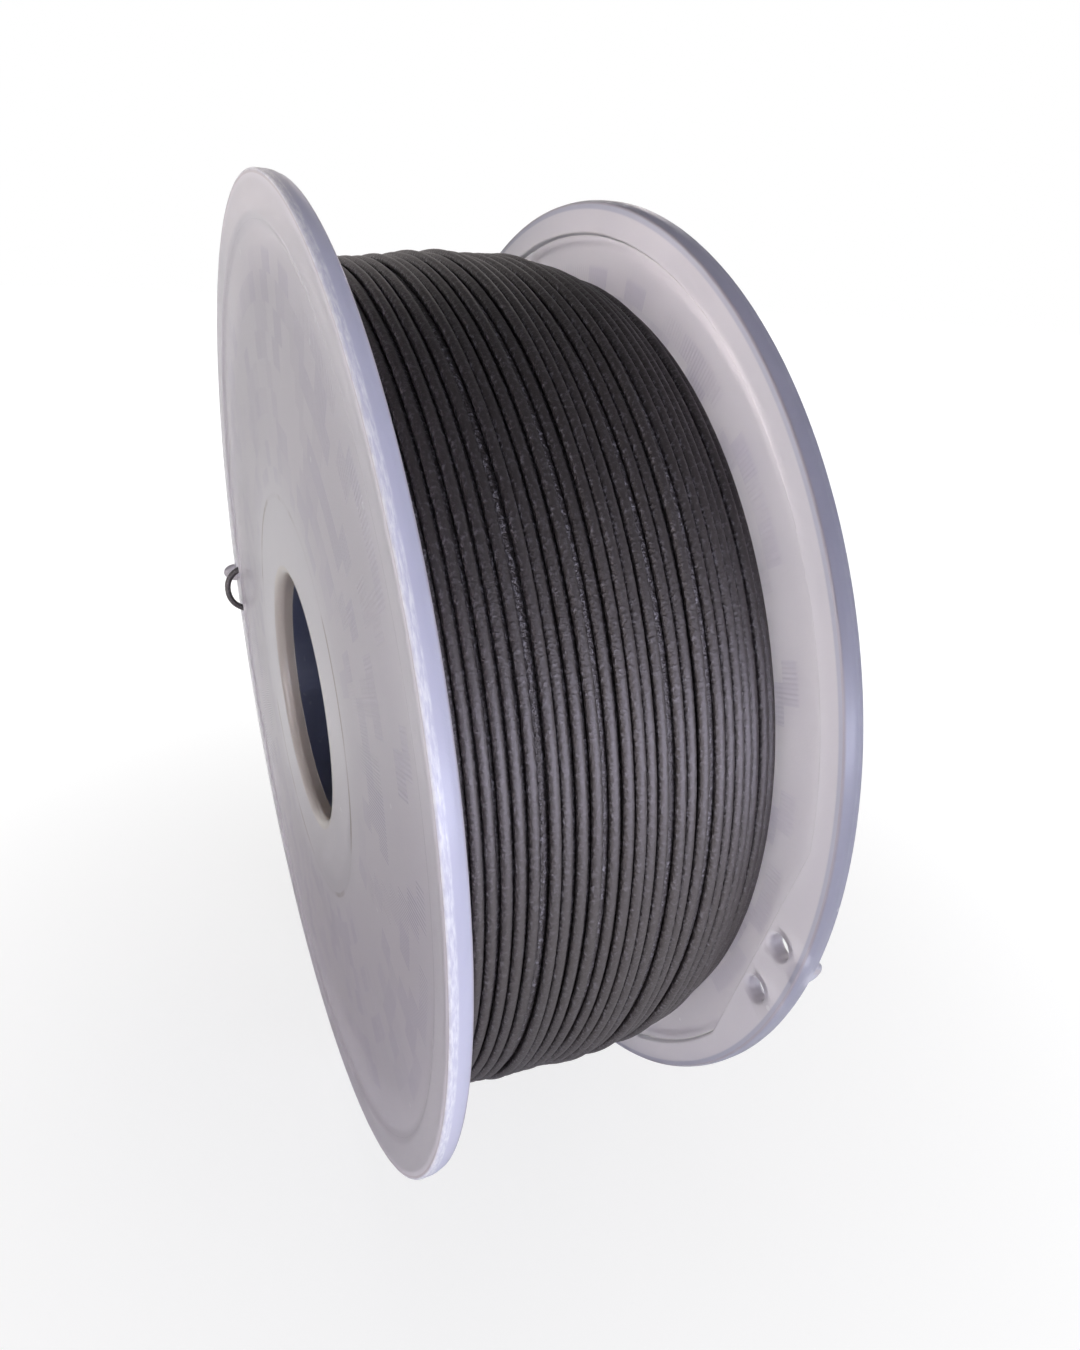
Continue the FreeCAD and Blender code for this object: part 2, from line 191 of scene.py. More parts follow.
def tie_hole(side):
    """The cutter for one tie hole: a round bar whose radius grows towards both rim faces as
    hole + flare - sqrt(flare^2 - (flare - depth)^2), a quarter circle that opens the mouth."""
    flared = tie_hole_flare - 0.04
    depth = np.concatenate([[-2.0], np.linspace(0.0, flared, 9)])
    past = np.clip(flared - depth, 0, flared)
    radius = tie_hole_radius + tie_hole_flare - np.sqrt(tie_hole_flare ** 2 - past ** 2)
    x = np.concatenate([rim_inside + depth, (rim_outside - depth)[::-1]])
    radius = np.concatenate([radius, radius[::-1]])[:, None]
    around = np.linspace(0, 2 * np.pi, 48, endpoint=False)
    y, z = side * tie_hole_place[0], tie_hole_place[1]
    return np.stack([x[:, None] + 0 * radius * around, y + radius * np.cos(around),
                     z + radius * np.sin(around)], -1)


def lug():
    """The lug's ellipsoid: x = a cos u, y = b sin u cos v, z = c sin u sin v, from a point
    under the rim's face to the crown; u stops just short of both poles, which are capped."""
    u = np.linspace(0.98 * np.pi, 0.02 * np.pi, 28)[:, None]
    v = np.linspace(0, 2 * np.pi, 36, endpoint=False)[None, :]
    x = np.maximum(lug_height * np.cos(u), -lug_foot) + 0 * v
    return np.stack([rim_outside + x, lug_place[0] + lug_half_length * np.sin(u) * np.cos(v),
                     lug_place[1] + lug_half_width * np.sin(u) * np.sin(v)], -1)


def combined(piece, tool, operation):
    """piece with the tool cut out of it or joined to it; the tool is used up."""
    change = piece.modifiers.new("change", "BOOLEAN")
    change.operation, change.object, change.solver = operation, tool, "EXACT"
    graph = bpy.context.evaluated_depsgraph_get()
    result = bpy.data.meshes.new_from_object(piece.evaluated_get(graph))
    piece.modifiers.clear()
    piece.data = result
    bpy.data.objects.remove(tool)
    return piece


def hex_colour(code):
    """An sRGB hex colour as linear RGBA: a channel c becomes ((c + 0.055) / 1.055) ^ 2.4."""
    channels = [int(code[i:i + 2], 16) / 255 for i in (1, 3, 5)]
    return [((c + 0.055) / 1.055) ** 2.4 if c > 0.04045 else c / 12.92 for c in channels] + [1.0]


def add(tree, kind, settings=None, *in_order, **by_name):
    """A new node.  settings are its own properties, or the name of its operation.  A socket,
    given in order or by its name with _ for a space, takes a value or another node's output."""
    node = tree.nodes.new("ShaderNode" + kind)
    if isinstance(settings, str):
        settings = {"operation": settings}
    for key, value in (settings or {}).items():
        setattr(node, key, value)
    for where, value in [*enumerate(in_order), *by_name.items()]:
        if isinstance(where, str):
            where = where.replace("_", " ")
        if isinstance(value, bpy.types.Node):
            value = value.outputs[0]
        if isinstance(value, bpy.types.NodeSocket):
            tree.links.new(value, node.inputs[where])
        else:
            node.inputs[where].default_value = value
    return node


def new_material(name):
    material = bpy.data.materials.new(name)
    material.use_nodes = True
    material.node_tree.nodes.clear()
    return material, material.node_tree


def spindle_polar(tree):
    """Object coordinates, and from them the place along the spindle, the distance from it and
    the angle round it, in metres and radians."""
    place = add(tree, "TexCoord").outputs["Object"]
    x, y, z = add(tree, "SeparateXYZ", Vector=place).outputs
    squares = add(tree, "Math", "MULTIPLY_ADD", y, y, add(tree, "Math", "MULTIPLY", z, z))
    r = add(tree, "Math", "SQRT", squares)
    return place, x, r, add(tree, "Math", "ARCTAN2", y, z)


def band(tree, value, low, high, soft):
    """1 where the value lies between low and high, falling to 0 over soft outside them."""
    smooth = {"interpolation_type": "SMOOTHSTEP"}
    rising = add(tree, "MapRange", smooth, Value=value, From_Min=low - soft, From_Max=low)
    falling = add(tree, "MapRange", smooth, Value=value, From_Min=high, From_Max=high + soft,
                  To_Min=1.0, To_Max=0.0)
    return add(tree, "Math", "MULTIPLY", rising, falling)


# Natural polypropylene, moulded: milky and colourless, frosted by a fine mould texture, so
# that light goes in, scatters and comes out again a few millimetres away.  The panels carry
# a shallow moulded pattern of cells, 5 mm by 7, some of them ridged.  The rims are scuffed,
# with a painted highlight along the step inside each rim and painted shade on the right rim.
plastic, tree = new_material("natural polypropylene, moulded")
place, x, r, angle = spindle_polar(tree)
cloud = add(tree, "TexNoise", Vector=place, Scale=45.0, Detail=3.0, Roughness=0.55)
tone = add(tree, "MixRGB", {}, cloud, hex_colour("#DDD9DE"), hex_colour("#E9E4E7"))

cell_depth, cells_around, ridges_around = 0.005, 72, 640
panel = band(tree, r, 0.0475, 0.0880, 0.0012)
ring_number = add(tree, "Math", "FLOOR", add(tree, "Math", "DIVIDE", r, cell_depth))
around = add(tree, "Math", "MULTIPLY_ADD", angle, cells_around / (2 * math.pi),
             add(tree, "Math", "MULTIPLY", ring_number, 0.5))
column = add(tree, "Math", "FLOORED_MODULO", add(tree, "Math", "FLOOR", around), cells_around)
cell = add(tree, "TexWhiteNoise", {"noise_dimensions": "2D"},
           Vector=add(tree, "CombineXYZ", X=ring_number, Y=column)).outputs["Value"]
tint = add(tree, "MapRange", Value=cell, From_Min=0.45, From_Max=1.0, To_Max=0.6)
tone = add(tree, "MixRGB", {}, add(tree, "Math", "MULTIPLY", panel, tint), tone,
           hex_colour("#CDC7D4"))
# The ridges are 0.5 mm apart on the real one; 0.8 mm is the finest that still shows.
ridges = add(tree, "Math", "SINE", add(tree, "Math", "MULTIPLY", angle, ridges_around))
ridged_cells = add(tree, "Math", "MULTIPLY", panel, add(tree, "Math", "GREATER_THAN", cell, 0.5))
ridged = add(tree, "Math", "MULTIPLY", ridged_cells, band(tree, r, 0.060, 0.088, 0.004))
ridge_height = add(tree, "Math", "MULTIPLY", ridges, ridged)

# Dirt-brown traces of the bond line, in patches round the seat of the hub core.
bond = band(tree, r, 0.0438, 0.0444, 0.0004)
patches = add(tree, "TexNoise", Vector=place, Scale=38.0, Detail=3.0)
patches = add(tree, "MapRange", Value=patches, From_Min=0.46, From_Max=0.60)
traces = add(tree, "Math", "MULTIPLY", bond,
             add(tree, "Math", "MULTIPLY_ADD", patches, 0.75, 0.08))
tone = add(tree, "MixRGB", {}, traces, tone, hex_colour("#8A7565"))

# The thick collar round the bore looks a little yellower than the thin panel.
mouth = band(tree, r, 0.0265, 0.0290, 0.0008)
tone = add(tree, "MixRGB", {}, add(tree, "Math", "MULTIPLY", mouth, 0.6), tone,
           hex_colour("#D6C8AE"))

# Painted highlight: a pale line painted along the sharp step inside the rim, round the rim
# and straight across the land.
for side, angle_of_holes in ((1, right_flange_angle), (-1, left_flange_angle)):
    t = math.radians(90 - angle_of_holes)
    towards_land = add(tree, "VectorMath", "DOT_PRODUCT", place,
                       (0.0, -math.sin(t), math.cos(t))).outputs["Value"]
    past_step = add(tree, "Math", "MAXIMUM",
                    add(tree, "Math", "SUBTRACT", r, band_edge / 1000),
                    add(tree, "Math", "SUBTRACT", towards_land, land_edge / 1000))
    inner_face = band(tree, add(tree, "Math", "MULTIPLY", x, side), 0.0290, 0.0318, 0.0001)
    painted_step_highlight = band(tree, past_step, -0.00045, 0.00005, 0.0001)
    tone = add(tree, "MixRGB", {}, add(tree, "Math", "MULTIPLY", painted_step_highlight, inner_face), tone,
               hex_colour("#FFFDF8"))

# Where a rim has rolled and rubbed on shelves, next to its outer corner: pale, with short
# streaks round it on the bluish, clear look of the rest of the edge.
rim = band(tree, r, 0.0996, 0.1100, 0.0003)
tone = add(tree, "MixRGB", {}, add(tree, "Math", "MULTIPLY", rim, 0.45), tone,
           hex_colour("#C2C6DE"))
from_middle = add(tree, "Math", "ABSOLUTE", x)
contact = add(tree, "Math", "MULTIPLY", rim, band(tree, from_middle, 0.0326, 0.0342, 0.0003))
streak_place = add(tree, "CombineXYZ", X=add(tree, "Math", "MULTIPLY", x, 2600.0),
                   Y=add(tree, "Math", "MULTIPLY", angle, 34.0))
streaks = add(tree, "TexNoise", Vector=streak_place, Scale=1.0, Detail=4.0, Roughness=0.65)
streaks = add(tree, "MapRange", Value=streaks, From_Min=0.42, From_Max=0.64)
scuffs = add(tree, "Math", "MULTIPLY", contact,
             add(tree, "Math", "MULTIPLY_ADD", streaks, 0.75, 0.15))
tone = add(tree, "MixRGB", {}, scuffs, tone, hex_colour("#FFFFFF"))

# Painted shade: the right flange's rim is painted a darker blue-grey than the left one.
right_side = add(tree, "Math", "GREATER_THAN", x, 0.0)
outer_band = band(tree, r, 0.0986, 0.1100, 0.0004)
right_rim_painted_shade = add(tree, "Math", "MULTIPLY", outer_band, right_side)
tone = add(tree, "MixRGB", {}, add(tree, "Math", "MULTIPLY", right_rim_painted_shade, 0.75), tone,
           hex_colour("#A9ABBE"))

# A thin brownish line round the rims' outer corners.
corner = band(tree, r, 0.09930, 0.09955, 0.00015)
tone = add(tree, "MixRGB", {}, add(tree, "Math", "MULTIPLY", corner, 0.4), tone,
           hex_colour("#A38D86"))

# A few short scratches and nicks on the flat faces.
nick_cells = add(tree, "TexVoronoi", {"feature": "F1"}, Vector=place, Scale=95.0)
nicks = add(tree, "Math", "LESS_THAN", nick_cells.outputs["Distance"], 0.05)
tone = add(tree, "MixRGB", {}, add(tree, "Math", "MULTIPLY", nicks, 0.6), tone,
           hex_colour("#FFFFFF"))

grain = add(tree, "TexNoise", Vector=place, Scale=2600.0, Detail=2.0)
bump = add(tree, "Bump", Strength=0.12, Distance=0.0002, Height=grain)
bump = add(tree, "Bump", Strength=0.5, Distance=0.00006, Height=ridge_height, Normal=bump)
frosted = band(tree, r, 0.0560, 0.0800, 0.0160)
roughness = add(tree, "MapRange", Value=frosted, To_Min=0.38, To_Max=0.5)
# Rubbed plastic scatters more than it lets through, so the worn left rim is less clear.
worn = add(tree, "Math", "MULTIPLY", band(tree, r, 0.0988, 0.1100, 0.0006),
           add(tree, "Math", "SUBTRACT", 1.0, right_side))
clearness = add(tree, "MapRange", Value=worn, To_Min=0.7, To_Max=0.35)
shader = add(tree, "BsdfPrincipled", Base_Color=tone, Roughness=roughness, IOR=1.49, Normal=bump,
             Transmission_Weight=clearness, Subsurface_Weight=1.0,
             Subsurface_Radius=(1.0, 1.0, 1.0), Subsurface_Scale=0.002,
             Specular_IOR_Level=0.15, Coat_Weight=0.14, Coat_Roughness=0.12)
add(tree, "OutputMaterial", Surface=shader)

for node, angle_of_holes in (("flange_right", right_flange_angle),
                             ("flange_left", left_flange_angle)):
    flange = grid_mesh(node + "_moulding", flange_disc())
    for side in (1, -1):
        combined(flange, grid_mesh("cutter", tie_hole(side), "capped", sharp=180), "DIFFERENCE")
    combined(flange, grid_mesh("lug", lug(), "capped", sharp=180), "UNION")
    points = np.zeros(len(flange.data.vertices) * 3)
    flange.data.vertices.foreach_get("co", points)
    points = points.reshape(-1, 3)
    if node == "flange_left":
        points = points * (-1, -1, 1)
    flange.data.vertices.foreach_set("co", turned(points, angle_of_holes).ravel())
    flange.data.shade_smooth()
    flange.data.set_sharp_from_angle(angle=math.radians(35))
    flange.data.materials.clear()
    flange.data.materials.append(plastic)
    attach(flange, "root")
    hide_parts(node)

# Hub core --------------------------------------------------------------------------------
# The middle moulding, of the same plastic: drum, bore tube and four ribs in one.  Its solid is
# right, so it is that mesh, with its loose triangles merged and shaded smooth.

hub = bpy.data.objects.new("hub_core_moulding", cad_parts["hub_core"].data.copy())
bpy.context.scene.collection.objects.link(hub)
work = bmesh.new()
work.from_mesh(hub.data)
bmesh.ops.remove_doubles(work, verts=work.verts, dist=1e-6)
work.to_mesh(hub.data)
work.free()
hub.data.shade_smooth()
hub.data.set_sharp_from_angle(angle=math.radians(30))
hub.data.materials.clear()
# The same plastic, painted a darker blue-grey than the flanges: painted shade of the dark
# bore, with small clear flecks from the mould.
bore_shaded_plastic, tree = new_material("natural polypropylene, painted bore shade")
place = add(tree, "TexCoord").outputs["Object"]
cloud = add(tree, "TexNoise", Vector=place, Scale=70.0, Detail=4.0, Roughness=0.6)
tone = add(tree, "MixRGB", {}, cloud, hex_colour("#7E84A0"), hex_colour("#9096AE"))
flecks = add(tree, "TexNoise", Vector=place, Scale=420.0, Detail=1.0)
flecks = add(tree, "MapRange", Value=flecks, From_Min=0.70, From_Max=0.78, To_Max=0.5)
tone = add(tree, "MixRGB", {}, flecks, tone, hex_colour("#D8DAE6"))
bump = add(tree, "Bump", Strength=0.1, Distance=0.0002,
           Height=add(tree, "TexNoise", Vector=place, Scale=2600.0, Detail=2.0))
shader = add(tree, "BsdfPrincipled", Base_Color=tone, Roughness=0.4, IOR=1.49, Normal=bump,
             Transmission_Weight=0.8, Subsurface_Weight=1.0,
             Subsurface_Radius=(1.0, 1.0, 1.0), Subsurface_Scale=0.002)
add(tree, "OutputMaterial", Surface=shader)
hub.data.materials.append(bore_shaded_plastic)
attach(hub, "root")
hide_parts("hub_core")

# Filament, inner layers ----------------------------------------------------------------------
# The strand as it fills the spool: round, 1.75 mm, matte dark grey, wound turn by turn.
# Only the outermost of these layers shows, in the gaps between the turns that lie on it.

strand_radius = 0.875
winding_lo, winding_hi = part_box("filament_winding")
winding_side = winding_hi.x * 1000
crown_radius = winding_hi.z * 1000
backing_depth = 2.7
rng = np.random.default_rng(7)


def crowned(x):
    """The winding's outer radius along the spindle, in mm.  The layers pile up towards the
    middle: from the highest place the radius falls as drop * (way / whole way) ^ power, slowly
    to the left flange and more steeply to the right one."""
    highest_at, rise = 8.0, 3.9
    left_drop, left_way, left_power = 4.4, 38, 1.8
    right_drop, right_way, right_power = 5.4, 22, 2.4
    left = left_drop * (np.maximum(highest_at - x, 0) / left_way) ** left_power
    right = right_drop * (np.maximum(x - highest_at, 0) / right_way) ** right_power
    return crown_radius + rise - left - right


def swell(x, a):
    """How far the layers stand out where turns have piled up: a sum of slow waves along the
    spindle that drift round it, in mm."""
    return (0.26 * np.sin(2 * np.pi * x / 6.7 + 1.1 * np.sin(a + 0.6) + 0.4)
            + 0.22 * np.sin(2 * np.pi * x / 15.5 + 1.7 * np.sin(a - 1.1) + 2.0)
            + 0.20 * np.sin(2 * a + x / 11.0))


def turn_places(turns, first, last, wide_gaps, segments, rng):
    """Where each turn lies along the spindle, turns x segments, in mm.

    Each turn lies one strand and a gap beside the turn before: x(t + 1) = x(t) + d + gap(t).
    The gap is small at most turns and wide at a few, and it changes smoothly from one
    level to the next over about a fifth of a turn.
    """
    level = rng.uniform(0.14, 0.46, turns + 1)
    spots = np.linspace(1.6, turns - 2.4, wide_gaps) + rng.uniform(-0.9, 0.9, wide_gaps)
    level[np.round(spots).astype(int)] = rng.uniform(0.95, 1.3, wide_gaps)
    t = np.arange(turns * segments) / segments
    edge = np.arange(1, turns + 1) + rng.uniform(-0.16, 0.16, turns)
    steps = 0.5 + 0.5 * np.tanh((t[:, None] - edge[None, :]) / 0.07)
    gap = level[0] + (steps * np.diff(level)[None, :]).sum(1)
    gap = gap.reshape(turns, segments)
    part = np.arange(segments) / segments
    x = np.zeros((turns, segments))
    x[0] = (2 * strand_radius + gap[0, 0]) * part
    x[1:] = x[0] + np.cumsum(2 * strand_radius + gap[:-1], axis=0)
    a = 2 * np.pi * part
    wander = 0.09 * np.sin(3 * a + x / 4.1) + 0.07 * np.sin(2 * a - x / 2.3 + 1.0)
    stretch = (last - first) / (x[-1, -1] - x[0, 0])
    return first + (x - x[0, 0]) * stretch + wander


segments = 180
a = np.linspace(0, 2 * np.pi, segments, endpoint=False)
half = winding_side - strand_radius
lower = -turn_places(33, -half, half, 0, segments, rng)
columns = np.linspace(-winding_side, winding_side, 340)


def height_over(places, at, reach):
    """The greatest sqrt(reach^2 - (x - turn)^2) over all turns, at each x and angle; 0 where
    no turn is within reach."""
    best = np.zeros(np.broadcast_shapes(places[0][..., None].shape, at.shape))
    for turn in places:
        best = np.maximum(best, np.sqrt(np.maximum(reach ** 2 - (at - turn[..., None]) ** 2, 0)))
    return best


backing_centres = crowned(columns) - strand_radius - backing_depth
outer = backing_centres + swell(columns[None, :], a[:, None]) + height_over(
    lower, columns[None, :], strand_radius)
drum_radius, drum_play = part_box("hub_core")[1].z * 1000, 0.02
section_x = np.concatenate([columns, [winding_side, -winding_side]])
section_r = np.concatenate([outer, np.full((segments, 2), drum_radius + drum_play)], axis=1)
inner_layers = grid_mesh("filament_inner_layers", np.stack([
    section_x[None, :] + 0 * section_r, -section_r * np.cos(a)[:, None],
    section_r * np.sin(a)[:, None]], -1), sharp=70)

# Fibre-filled filament: extruded, matte, very dark grey, with fine bright specks painted in as
# glints.
# It is rougher, and its painted glints are stronger, where it was drawn over a neighbour, on the
# flanks and on the layers below, than on the crowns: an attribute on the vertices says where.
filament, tree = new_material("fibre-filled filament, extruded")
place = add(tree, "TexCoord").outputs["Object"]
rubbed_and_glinting = add(tree, "Attribute", {"attribute_name": "rubbed_and_glinting"}).outputs["Fac"]
speck = add(tree, "TexNoise", Vector=place, Scale=1500.0, Detail=2.5, Roughness=0.7)
patch = add(tree, "TexNoise", Vector=place, Scale=90.0, Detail=2.0)
tone = add(tree, "MixRGB", {}, patch, hex_colour("#1E1A1A"), hex_colour("#292423"))
# Painted glints: pale grey specks mixed into the colour.
glints = add(tree, "MapRange", Value=speck, From_Min=0.52, From_Max=0.70, To_Max=0.8)
glints = add(tree, "Math", "MULTIPLY", glints,
             add(tree, "Math", "MULTIPLY_ADD", rubbed_and_glinting, 0.8, 0.2))
tone = add(tree, "MixRGB", {}, glints, tone, hex_colour("#8C878A"))
depth = add(tree, "Math", "MULTIPLY", speck,
            add(tree, "Math", "MULTIPLY_ADD", rubbed_and_glinting, 0.75, 0.25))
bump = add(tree, "Bump", Strength=1.0, Distance=0.0005, Height=depth)
shader = add(tree, "BsdfPrincipled", Base_Color=tone, Roughness=0.48, IOR=1.5, Normal=bump,
             Specular_IOR_Level=0.88, Specular_Tint=hex_colour("#FFF5F6"))
add(tree, "OutputMaterial", Surface=shader)


def mark_rubbed_and_glinting(piece, values):
    """Stores one number for each vertex, in the order of its grid: 0 crown, 1 fully worn; it sets
    both the rough wear and the painted glints.
    """
    attribute = piece.data.attributes.new("rubbed_and_glinting", "FLOAT", "POINT")
    everywhere = np.broadcast_to(values, (len(piece.data.vertices),))
    attribute.data.foreach_set("value", everywhere.astype(np.float32))


mark_rubbed_and_glinting(inner_layers, 1.0)
inner_layers.data.materials.append(filament)
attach(inner_layers, "root")
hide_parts("filament_winding")

# Filament, outermost turns ----------------------------------------------------------------
# The last layer of the same strand.  It lies on the crowns and in the grooves of the layer
# below, so its turns stand at slightly different heights, with a few wider gaps.

around_strand = np.linspace(0, 2 * np.pi, 16, endpoint=False)


def tube(centres, across, up):
    """The strand as a round tube: rings of points C + radius (cos v up + sin v across), one
    ring for each point of its centreline."""
    v = around_strand[None, :, None]
    return centres[:, None] + strand_radius * (
        np.cos(v) * up[:, None] + np.sin(v) * across[:, None])


def smoothed(values, reach):
    """A running mean with a bell-shaped weight, reach samples to each side."""
    weight = np.hanning(2 * reach + 1)
    padded = np.pad(values, reach, mode="edge")
    return np.convolve(padded, weight / weight.sum(), mode="valid")


def wound_tube(name, x, r, a):
    """A tube along a winding: its centreline is (x, -r cos a, r sin a), its cross-section
    stands on the spindle's radius, and its ends are closed."""
    centres = np.stack([x, -r * np.cos(a), r * np.sin(a)], -1)
    up = np.stack([0 * x, -np.cos(a), np.sin(a)], -1)
    across = np.tile([1.0, 0.0, 0.0], (len(x), 1))
    return grid_mesh(name, tube(centres, across, up), "capped", sharp=60)


outer_turns = 26
# The strand leaves the winding this many degrees before the land with the tie holes.
leave = 27.0
ends_at = math.radians(left_flange_angle + leave)
upper = turn_places(outer_turns, -half, half, 6, segments, rng)
x = upper.ravel()
angles = ends_at + 2 * np.pi * np.arange(len(x)) / segments
# A stretch of 40 segments at a time settles by up to 0.34 mm between the turns below.
settle_depth, settle_length = 0.34, 40
settled = np.repeat(rng.uniform(0, settle_depth, len(x) // settle_length + 1), settle_length)
lift, swell_share = 0.1, 0.75
r = (crowned(x) - strand_radius + lift + swell_share * swell(x, angles)
     - smoothed(settled[:len(x)], 25))
# Both ends of the layer dive between the turns beside them.
dive, dive_length = 1.9, 16
from_end = np.minimum(np.arange(len(x)), np.arange(len(x))[::-1]) / dive_length
r -= dive * np.exp(-from_end ** 2)
turns = wound_tube("filament_outer_turns", x, r, angles)
mark_rubbed_and_glinting(turns, np.tile(np.clip(1.25 - 1.3 * np.cos(around_strand), 0, 1), len(x)))
turns.data.materials.append(filament)
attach(turns, "root")
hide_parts("filament_winding")

# The layer below lies in the grooves: midway between two turns whose centres are D apart,
# sqrt(d^2 - (D/2)^2) below them.  A wide gap shows it, high up and rubbed rough.
widest, groove_play = 1.70, 0.2
reach = np.clip((x[segments:] - x[:-segments]) / 2, 0, widest)
below = np.sqrt((2 * strand_radius) ** 2 - reach ** 2)
groove_turns = wound_tube("filament_groove_turns", (x[segments:] + x[:-segments]) / 2,
                          (r[segments:] + r[:-segments]) / 2 - smoothed(below, 6)
                          - groove_play, angles[segments:])
mark_rubbed_and_glinting(groove_turns, 1.0)
groove_turns.data.materials.append(filament)
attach(groove_turns, "root")
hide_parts("filament_winding")

# Filament, its two ends -----------------------------------------------------------------------
# The loose end rises from the winding behind the left flange, goes out through one tie hole
# and back in through the other, which parks it.  The start of the strand is pushed through
# a hole in the hub's drum before winding; its solid is right and only takes the material.


def smooth_run(corners, steps=10):
    """A smooth line past a route's corners: between the middles M and N of the two runs at a
    corner C it is (1-s)^2 M + 2 s(1-s) C + s^2 N; the ends are straight halves of runs."""
    middles = (corners[1:] + corners[:-1]) / 2
    s = np.linspace(0, 1, steps, endpoint=False)[None, :, None]
    bends = ((1 - s) ** 2 * middles[:-1, None] + 2 * s * (1 - s) * corners[1:-1, None]
             + s ** 2 * middles[1:, None])
    return np.concatenate([corners[:1], bends.reshape(-1, 3), middles[-1:], corners[-1:]])


def frames_along(line):
    """Two directions across a line at each of its points: the tangent T is the mean of the
    steps before and after, u = T x (0, 0.2, 1) made one long, and v = u x T."""
    along = np.gradient(line, axis=0)
    along /= np.linalg.norm(along, axis=1, keepdims=True)
    u = np.cross(along, (0.0, 0.2, 1.0))
    u /= np.linalg.norm(u, axis=1, keepdims=True)
    return u, np.cross(u, along)


# The loop's corners, with the tie holes upwards, as places along the spindle, across the land
# and outwards: behind the flange, out at one hole, in at the other, and its cut end.
lie_x, lie_radius = 25.667, 86.925
out_x, end_x, loop_radius = 37.225, 23.6, 93.4
start_y, hole_y, end_y = 8.149, 5.46, 8.63
corners = np.array([(lie_x, -start_y, loop_radius), (out_x, -hole_y, loop_radius),
                    (out_x, hole_y, loop_radius), (end_x, end_y, loop_radius)])
corners = turned(corners * (-1, -1, 1), left_flange_angle)
# Before it, the strand splits off the turn beside the left flange and rises to lie on it.
lie_step = 14.0
lie_angles = np.radians(left_flange_angle + leave + lie_step * np.array([4, 3, 2, 1]))
turn = np.argmin(np.abs(upper.mean(axis=1) + lie_x))
where = round((lie_angles[0] - ends_at) / (2 * np.pi) * segments)
sink_x, sink_r = upper[turn, where], r.reshape(outer_turns, segments)[turn, where]
share = np.array([0.0, 0.35, 0.8, 1.0])
lie_r = (sink_r + (lie_radius - sink_r) * share) / math.cos(math.radians(lie_step / 2))
lie = np.stack([sink_x + (-lie_x - sink_x) * share, -lie_r * np.cos(lie_angles),
                lie_r * np.sin(lie_angles)], -1)
line = smooth_run(np.concatenate([lie, corners]))
loose_end = grid_mesh("filament_parked_end", tube(line, *frames_along(line)), "capped", sharp=60)
mark_rubbed_and_glinting(loose_end, 0.3)
loose_end.data.materials.append(filament)
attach(loose_end, "root")
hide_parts("filament_loose_end")

start_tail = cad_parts["filament_start_tail"]
start_tail.data.materials.clear()
start_tail.data.materials.append(filament)

# Floor and light ---------------------------------------------------------------------------
# A plain white floor under the rims, a surround that is white low down and dark overhead, and
# four soft lamps: one on the left flange, one low in front, two weak ones behind.

floor_reach = 6.0
floor_mesh = bpy.data.meshes.new("floor")
floor_mesh.from_pydata([(-floor_reach, -floor_reach, 0), (floor_reach, -floor_reach, 0),
                        (floor_reach, floor_reach, 0), (-floor_reach, floor_reach, 0)],
                       [], [(0, 1, 2, 3)])
floor_mesh.transform(Matrix.Translation((0, 0, cad_box[0].z)))
floor = bpy.data.objects.new("floor", floor_mesh)
bpy.context.scene.collection.objects.link(floor)
# White paper: matte, and as bright as the surround where it is seen, mirrored or looked at
# through the plastic, but for the part under the spool, which keeps the shadow.
paper, tree = new_material("white paper sweep")
path = add(tree, "LightPath")
away = add(tree, "VectorMath", "LENGTH", add(tree, "TexCoord").outputs["Object"]).outputs["Value"]
in_view = add(tree, "MapRange", Value=away, From_Min=0.08, From_Max=0.30, To_Min=0.62, To_Max=0.98)
mirrored = add(tree, "MapRange", Value=away, From_Min=0.11, From_Max=0.20)
seen = add(tree, "Math", "MULTIPLY", in_view, path.outputs["Is Camera Ray"])
reflected = add(tree, "Math", "MULTIPLY", mirrored, path.outputs["Is Glossy Ray"])
through = add(tree, "Math", "MULTIPLY", path.outputs["Is Transmission Ray"], 0.9)
share = add(tree, "Math", "MAXIMUM", seen, add(tree, "Math", "MAXIMUM", reflected, through))
matte = add(tree, "BsdfDiffuse", Color=hex_colour("#F4F4F4"))
white = add(tree, "Emission", Color=(1, 1, 1, 1), Strength=1.15)
add(tree, "OutputMaterial", Surface=add(tree, "MixShader", {}, share, matte, white))
floor.data.materials.append(paper)

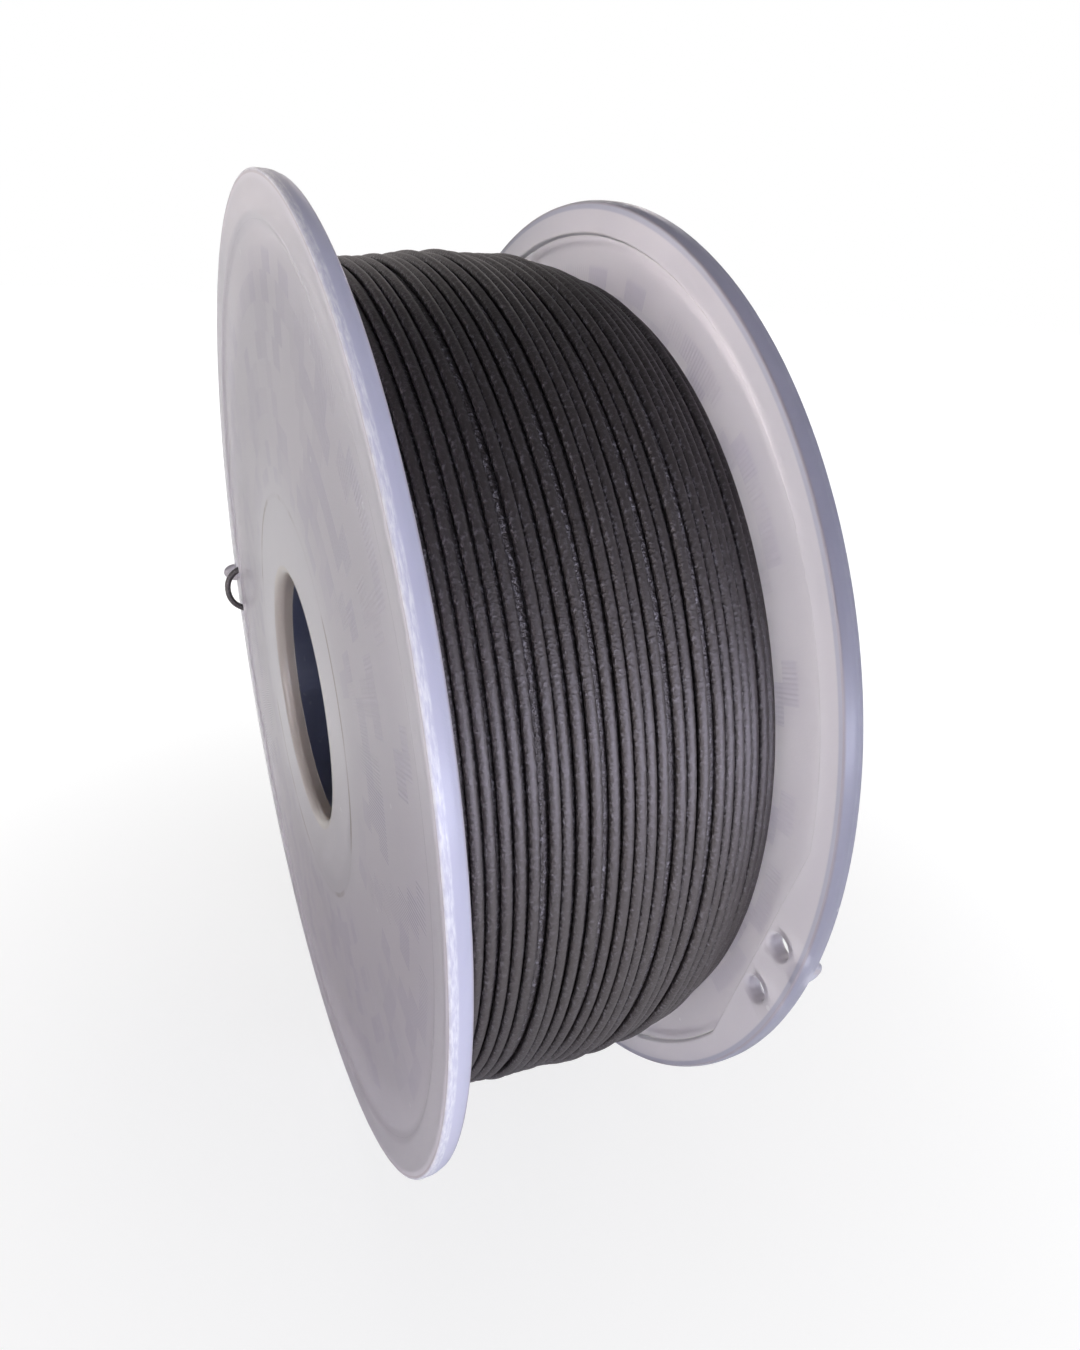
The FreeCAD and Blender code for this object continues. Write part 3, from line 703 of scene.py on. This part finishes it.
world = bpy.data.worlds.new("studio surround")
bpy.context.scene.world = world
world.use_nodes = True
tree = world.node_tree
tree.nodes.clear()
path = add(tree, "LightPath")
seen = add(tree, "Math", "MAXIMUM", path.outputs["Is Camera Ray"],
           add(tree, "Math", "MAXIMUM", path.outputs["Is Glossy Ray"],
               path.outputs["Is Transmission Ray"]))
height = add(tree, "SeparateXYZ", Vector=add(tree, "TexCoord").outputs["Generated"]).outputs["Z"]
level = add(tree, "MapRange", Value=height, From_Min=0.25, From_Max=0.65, To_Min=1.0, To_Max=0.12)
strength = add(tree, "MapRange", Value=seen, To_Min=0.10, To_Max=1.0)
both = add(tree, "Math", "MAXIMUM", add(tree, "Math", "MULTIPLY", level, strength),
           path.outputs["Is Camera Ray"])
sky = add(tree, "Background", Color=(1, 1, 1, 1), Strength=both)
add(tree, "OutputWorld", Surface=sky)


def lamp(name, place, width, height, energy, colour):
    """A soft lamp at this place, in metres, facing the middle of the spool."""
    light = bpy.data.lights.new(name, "AREA")
    light.shape, light.size, light.size_y = "RECTANGLE", width, height
    light.energy, light.color = energy, hex_colour(colour)[:3]
    holder = bpy.data.objects.new(name, light)
    holder.location = place
    holder.rotation_euler = (-holder.location).to_track_quat("-Z", "Y").to_euler()
    bpy.context.scene.collection.objects.link(holder)


lamp("key_light", (-1.0, -0.35, 0.08), 0.7, 0.34, 6.8, "#F8F2F6")
lamp("front_light", (0.15, -1.0, 0.03), 1.2, 0.24, 11.5, "#E2E6FF")
lamp("back_light", (0.2, 1.1, 0.40), 1.2, 0.6, 1.0, "#FFE8E4")
lamp("far_side_light", (1.0, 0.75, 0.35), 0.9, 0.6, 2.2, "#FFF4F2")

# Camera --------------------------------------------------------------------------------------
# Close to the spool, a little above it and to its left, with a wide lens.

azimuth, elevation, roll = -0.469, 0.479, 0.052
back = np.array([math.sin(azimuth) * math.cos(elevation),
                 -math.cos(azimuth) * math.cos(elevation), math.sin(elevation)])
distance, aim = 0.222457, (0.028916, 0, -0.016442)
place = back * distance + aim
right = np.cross(-back, (0, 0, 1))
right /= np.linalg.norm(right)
upright = np.cross(right, -back)
camera_right = math.cos(roll) * right + math.sin(roll) * upright
camera_up = math.cos(roll) * upright - math.sin(roll) * right
camera = bpy.data.objects.new("camera", bpy.data.cameras.new("camera"))
camera.matrix_world = Matrix([*zip(camera_right, camera_up, back, place), (0, 0, 0, 1)])
camera.data.lens = 22.705
camera.data.sensor_width = 36
camera.data.shift_x, camera.data.shift_y = -0.0056, 0.0331
camera.data.clip_start = 0.01
bpy.context.scene.collection.objects.link(camera)
bpy.context.scene.camera = camera
bpy.context.scene.view_settings.view_transform = "Standard"
